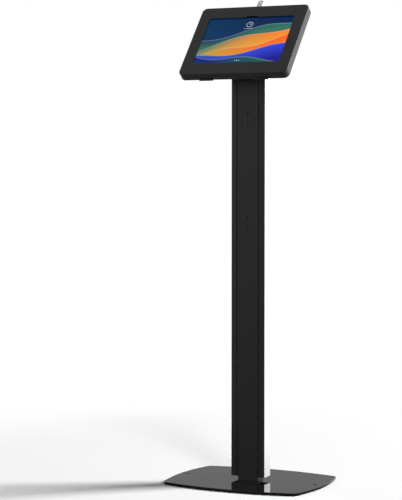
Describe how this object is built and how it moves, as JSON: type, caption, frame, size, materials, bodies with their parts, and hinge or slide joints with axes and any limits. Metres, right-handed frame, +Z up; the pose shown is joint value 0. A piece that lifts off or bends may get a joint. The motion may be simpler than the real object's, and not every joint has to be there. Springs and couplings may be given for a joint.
{
  "type": "adjustable tablet floor stand",
  "caption": "Free-standing column with a bowed base plate and a locking tablet enclosure that tilts, turns and opens with a key.",
  "frame": {"origin": "centre of the stand's footprint on the floor", "axes": "+Z up the column, -Y the way the screen faces, +X to the right of a user who faces the screen"},
  "size_m": [0.39, 0.306, 1.1932],
  "materials": {
    "black_powder_coat": "satin black powder coat",
    "gloss_black": "gloss black enamel",
    "silver_aluminium": "satin anodised",
    "black_rubber": "matt",
    "black_foam": "matt closed-cell foam",
    "zinc_steel": "zinc plated",
    "black_zinc": "black zinc",
    "nylon": "natural nylon",
    "black_plastic": "moulded, fine texture",
    "tablet_aluminium": "satin anodised",
    "screen_glass": "gloss cover glass over a lit display",
    "nickel_plate": "nickel plate"
  },
  "bodies": {
    "stand": {"base_plate": "gloss_black", "base_feet": "black_rubber", "base_screws": "zinc_steel", "column_foot": "black_powder_coat", "foot_screws": "zinc_steel", "column_extrusion": "silver_aluminium", "column_front_cover": "black_powder_coat", "column_rear_cover": "black_powder_coat", "accessory_inserts": "black_zinc", "column_top_cap": "black_plastic", "neck_bracket": "black_powder_coat", "neck_screws": "zinc_steel", "tilt_bolt": "zinc_steel", "tilt_nut": "zinc_steel", "tilt_washers": "zinc_steel", "friction_washers": "nylon"},
    "tilt_arm": {"tilt_bracket": "black_powder_coat", "swivel_bolt": "zinc_steel", "swivel_nut": "zinc_steel", "swivel_washer": "nylon", "turn_stop_pin": "zinc_steel"},
    "head": {"mount_plate": "black_powder_coat", "mount_spacers": "zinc_steel", "mount_screws": "zinc_steel", "clinch_nuts": "zinc_steel", "rear_shell": "black_powder_coat", "hinge_pins": "zinc_steel", "cable_grommet": "black_rubber", "foam_corners": "black_foam", "tablet_housing": "tablet_aluminium", "tablet_screen": "screen_glass", "lock_body": "nickel_plate", "lock_clip": "zinc_steel"},
    "cover": {"front_cover": "black_powder_coat", "window_gasket": "black_foam", "cover_catch": "black_powder_coat"},
    "lock": {"lock_plug": "nickel_plate", "lock_cam": "zinc_steel", "cam_screw": "zinc_steel"},
    "key": {"key": "nickel_plate"}
  },
  "joints": [
    {"name": "head_tilt", "type": "hinge", "parent": "stand", "child": "tilt_arm", "pos_m": [0, 0, 1.0535], "axis": [1, 0, 0], "range_deg": [-30, 40]},
    {"name": "head_turn", "type": "hinge", "parent": "tilt_arm", "child": "head", "pos_m": [0, 0, 1.0535], "axis": [0, -0.766, 0.6428], "range_deg": [-90, 90]},
    {"name": "cover_open", "type": "hinge", "parent": "head", "child": "cover", "pos_m": [0, -0.1019, 0.99149], "axis": [1, 0, 0], "range_deg": [0, 110]},
    {"name": "lock_turn", "type": "hinge", "parent": "head", "child": "lock", "pos_m": [0, 0.0344, 1.1617], "axis": [0, 0.6428, 0.766], "range_deg": [0, 90]},
    {"name": "key_pull", "type": "slide", "parent": "lock", "child": "key", "axis": [0, 0.6428, 0.766], "range_m": [0, 0.016]}
  ]
}
